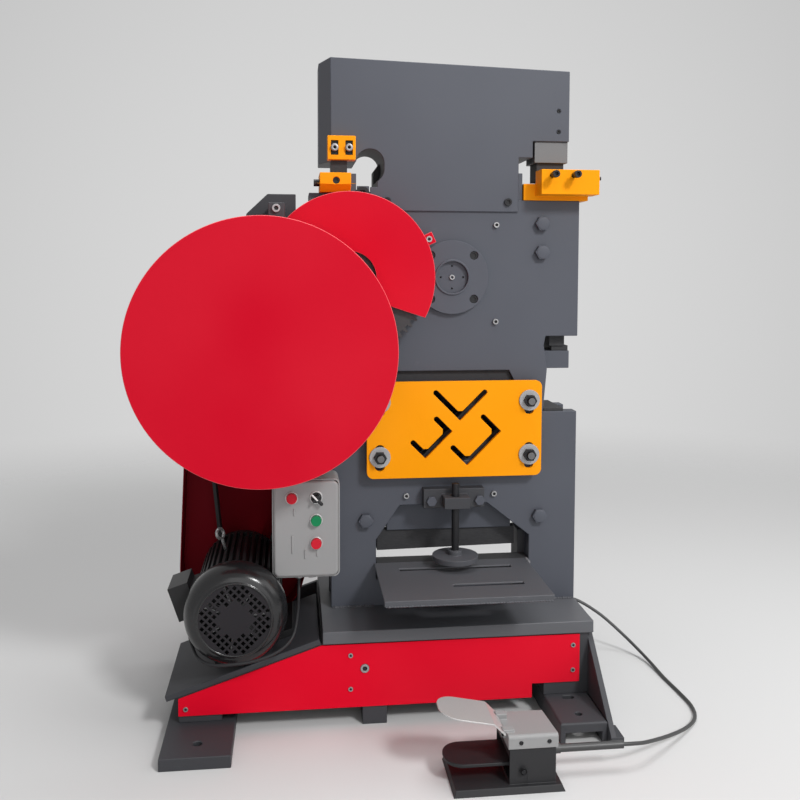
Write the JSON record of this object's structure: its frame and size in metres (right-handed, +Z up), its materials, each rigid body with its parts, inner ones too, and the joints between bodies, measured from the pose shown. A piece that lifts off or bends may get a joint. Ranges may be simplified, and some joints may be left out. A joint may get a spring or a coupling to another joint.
{
  "type": "ironworker machine",
  "caption": "Flywheel-driven ironworker with a crank slide, notching, section and plate shear stations, guarded gears, a belt motor and a foot switch.",
  "frame": {"origin": "on the floor below the crank axis, in the plane of the front frame plate's face", "axes": "+X to the machine's right as the operator faces it, +Y from the operator to the back, +Z up"},
  "size_m": [1.4408, 0.988, 1.703],
  "materials": {
    "dark_grey": "satin darker grey paint",
    "frame_grey": "satin dark grey paint",
    "red_paint": "satin red paint",
    "dark_red_paint": "satin dark red paint",
    "yellow_paint": "satin yellow paint",
    "tool_steel": "ground dark steel",
    "black_bolts": "black oxide",
    "bright_steel": "bright turned steel",
    "gear_iron": "dark cast iron",
    "bearing_bronze": "machined bronze",
    "black_rubber": "black rubber",
    "motor_black": "satin black paint",
    "box_grey": "light grey paint",
    "bare_alloy": "plain sheet alloy",
    "red_plastic": "red moulded plastic",
    "green_plastic": "green moulded plastic",
    "black_plastic": "black moulded plastic",
    "pedal_grey": "dark grey paint"
  },
  "bodies": {
    "machine": {"left_foot_plate": "dark_grey", "right_foot_channel": "dark_grey", "base_frame": "dark_grey", "base_slab": "frame_grey", "motor_plate": "dark_grey", "front_plate": "frame_grey", "rear_plate": "frame_grey", "notch_shelf": "frame_grey", "crank_bearings": "frame_grey", "hold_down_bracket": "dark_grey", "work_table": "dark_grey", "shear_bed": "dark_grey", "bearing_bracket": "dark_grey", "bar_block": "frame_grey", "tie_bolts": "frame_grey", "chute_hood": "frame_grey", "side_panels": "red_paint", "flywheel_guard": "red_paint", "gear_guard": "red_paint", "belt_guard": "dark_red_paint", "lower_holder": "yellow_paint", "die_holder": "yellow_paint", "fixed_blades": "tool_steel", "holder_screws": "black_bolts", "section_studs": "black_bolts", "frame_screws": "bright_steel", "cable_glands": "bright_steel", "pedal_pins": "bright_steel", "slide_liners": "bearing_bronze", "drive_belts": "black_rubber", "motor_cable": "black_rubber", "pedal_cable": "black_rubber", "motor_body": "motor_black", "motor_cowl": "motor_black", "control_box": "box_grey", "control_lid": "box_grey", "pedal_cover": "box_grey", "pedal_base": "pedal_grey"},
    "slide": {"slide": "frame_grey", "slide_screws": "black_bolts", "punch_holder": "tool_steel", "upper_holder": "yellow_paint", "slide_blades": "tool_steel"},
    "section_plate": {"section_plate": "yellow_paint"},
    "hold_down": {"hold_down_screw": "dark_grey"},
    "flywheel": {"flywheel_shaft": "bright_steel", "flywheel": "gear_iron", "driven_pulley": "gear_iron"},
    "counter": {"counter_shaft": "bright_steel", "counter_gear": "gear_iron"},
    "bull_gear": {"bull_gear": "gear_iron"},
    "crank": {"crank_shaft": "bright_steel"},
    "slide_block": {"slide_block": "tool_steel"},
    "motor_rotor": {"motor_rotor": "bright_steel"},
    "lamp_button": {"lamp_button": "red_plastic"},
    "selector": {"selector": "black_plastic"},
    "green_button": {"green_button": "green_plastic"},
    "stop_button": {"stop_button": "red_plastic"},
    "pedal_flap": {"pedal_flap": "bare_alloy"},
    "treadle": {"treadle": "pedal_grey"}
  },
  "joints": [
    {"name": "slide_stroke", "type": "slide", "parent": "machine", "child": "slide", "axis": [0, 0, -1], "range_m": [0, 0.026]},
    {"name": "crank_turn", "type": "hinge", "parent": "machine", "child": "crank", "pos_m": [0, 0.08, 1.134], "axis": [0, 1, 0], "continuous": true},
    {"name": "slide_block_swing", "type": "hinge", "parent": "crank", "child": "slide_block", "pos_m": [0, 0.08, 1.147], "axis": [0, 1, 0], "continuous": true},
    {"name": "flywheel_spin", "type": "hinge", "parent": "machine", "child": "flywheel", "pos_m": [-0.5, 0, 0.95903], "axis": [0, 1, 0], "continuous": true},
    {"name": "counter_spin", "type": "hinge", "parent": "machine", "child": "counter", "pos_m": [-0.27291, 0, 1.141], "axis": [0, 1, 0], "continuous": true},
    {"name": "bull_gear_spin", "type": "hinge", "parent": "machine", "child": "bull_gear", "pos_m": [0, 0.2, 1.134], "axis": [0, 1, 0], "continuous": true},
    {"name": "motor_spin", "type": "hinge", "parent": "machine", "child": "motor_rotor", "pos_m": [-0.56459, 0, 0.30317], "axis": [0, 1, 0], "continuous": true},
    {"name": "section_plate_set", "type": "slide", "parent": "machine", "child": "section_plate", "axis": [0, 0, 1], "range_m": [0, 0.02]},
    {"name": "hold_down_set", "type": "slide", "parent": "machine", "child": "hold_down", "axis": [0, 0, 1], "range_m": [-0.018, 0.05]},
    {"name": "lamp_button_press", "type": "slide", "parent": "machine", "child": "lamp_button", "axis": [0, 1, 0], "range_m": [0, 0.004], "stiffness_N_per_m": 400},
    {"name": "green_button_press", "type": "slide", "parent": "machine", "child": "green_button", "axis": [0, 1, 0], "range_m": [0, 0.004], "stiffness_N_per_m": 400},
    {"name": "stop_button_press", "type": "slide", "parent": "machine", "child": "stop_button", "axis": [0, 1, 0], "range_m": [0, 0.004], "stiffness_N_per_m": 400},
    {"name": "selector_turn", "type": "hinge", "parent": "machine", "child": "selector", "pos_m": [-0.365, -0.13, 0.583], "axis": [0, 1, 0], "range_deg": [-45, 45]},
    {"name": "treadle_press", "type": "hinge", "parent": "machine", "child": "treadle", "pos_m": [0.082, -0.415, 0.046], "axis": [0, -1, 0], "range_deg": [0, 9], "stiffness_Nm_per_rad": 30},
    {"name": "pedal_flap_lift", "type": "hinge", "parent": "machine", "child": "pedal_flap", "pos_m": [0.041, -0.42, 0.121], "axis": [0, 1, 0], "range_deg": [0, 45]}
  ],
  "couplings": [
    {"joint": "counter_spin", "follows": "flywheel_spin", "ratio": -0.4697},
    {"joint": "bull_gear_spin", "follows": "flywheel_spin", "ratio": 0.13231},
    {"joint": "motor_spin", "follows": "flywheel_spin", "ratio": 3.0968},
    {"joint": "slide_block_swing", "follows": "crank_turn", "ratio": -1}
  ]
}
